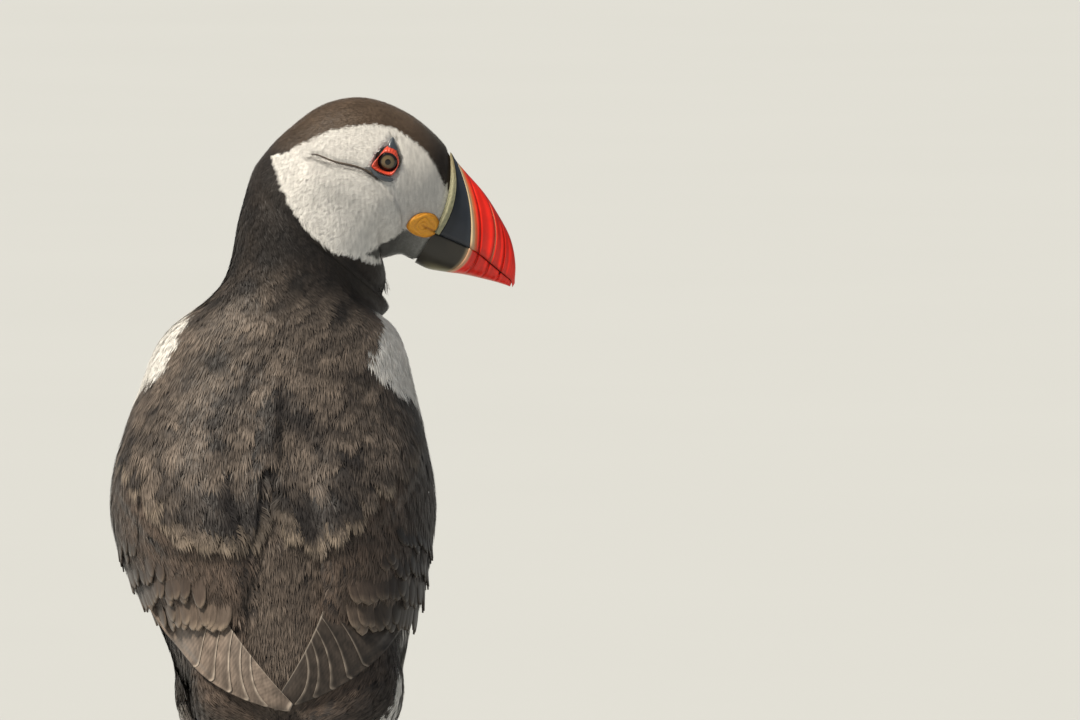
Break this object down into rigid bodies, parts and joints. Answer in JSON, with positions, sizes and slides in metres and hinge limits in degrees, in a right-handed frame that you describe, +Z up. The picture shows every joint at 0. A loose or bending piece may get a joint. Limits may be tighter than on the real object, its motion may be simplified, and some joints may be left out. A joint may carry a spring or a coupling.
{
  "type": "atlantic puffin",
  "caption": "Life-size Atlantic puffin standing upright, its head turned over its right shoulder, seen from behind.",
  "frame": {"origin": "on the ground, under the middle of the bounding box", "axes": "+Z up, +Y ahead of the bird's breast, +X to the bird's right, where its bill points"},
  "size_m": [0.1312, 0.1292, 0.2413],
  "materials": {
    "mantle": "matt black-brown feathers of the back, crown and collar",
    "white": "matt white feathers of the face, breast and belly",
    "flight": "satin, sun-worn brown flight feathers",
    "tail_feathers": "satin black-brown tail feathers",
    "cere": "matt, warty cream skin along the base of the bill",
    "slate": "matt blue-grey horn",
    "red_horn": "satin orange-red horn with shallow grooves",
    "rosette": "wrinkled yellow-orange skin at the gape",
    "eye": "wet, glossy eye with a brown iris",
    "eye_rim": "bare red skin round the eye",
    "leg_skin": "scaled orange-red skin of the legs and webs",
    "claw": "dark, satin horn of the claws"
  },
  "bodies": {
    "root": {"trunk": "mantle", "neck": "mantle", "head": "white", "wing_left": "mantle", "wing_right": "mantle", "primaries_left": "flight", "primaries_right": "flight", "tail": "tail_feathers", "cere": "cere", "bill_upper_plate": "slate", "bill_lower_plate": "slate", "bill_upper_horn": "red_horn", "bill_lower_horn": "red_horn", "eye_left": "eye", "eye_rim_left": "eye_rim", "eye_plate_upper_left": "slate", "eye_plate_lower_left": "slate", "gape_rosette_left": "rosette", "thigh_left": "white", "shank_left": "leg_skin", "foot_left": "leg_skin", "claw_inner_left": "claw", "claw_middle_left": "claw", "claw_outer_left": "claw", "eye_right": "eye", "eye_rim_right": "eye_rim", "eye_plate_upper_right": "slate", "eye_plate_lower_right": "slate", "gape_rosette_right": "rosette", "thigh_right": "white", "shank_right": "leg_skin", "foot_right": "leg_skin", "claw_inner_right": "claw", "claw_middle_right": "claw", "claw_outer_right": "claw"}
  },
  "joints": []
}
